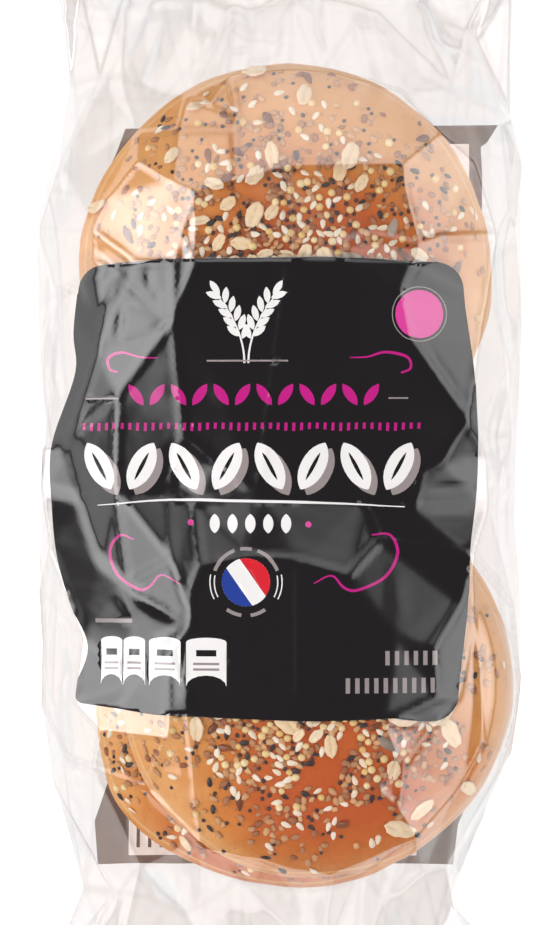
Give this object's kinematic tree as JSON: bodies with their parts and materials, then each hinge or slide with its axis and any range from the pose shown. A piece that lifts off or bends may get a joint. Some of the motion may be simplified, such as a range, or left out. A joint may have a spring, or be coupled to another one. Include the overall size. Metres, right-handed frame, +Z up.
{
  "type": "clear film pack of multigrain brioche buns",
  "caption": "Gusseted clear film pack with a dark printed front, flat sealed ends and seeded buns stacked inside, lying on its back.",
  "frame": {"origin": "middle of the pack's footprint, on the surface it lies on", "axes": "+X to the right of the printed front, +Y to its head, +Z up out of the front"},
  "size_m": [0.132, 0.292, 0.0881],
  "materials": {
    "film": "glossy clear film over golden-brown buns",
    "crust": "soft sheen, baked crust",
    "oats": "matt",
    "seeds": "satin",
    "print": "gloss, printed on the film"
  },
  "bodies": {
    "root": {"bag": "film"}
  },
  "joints": []
}
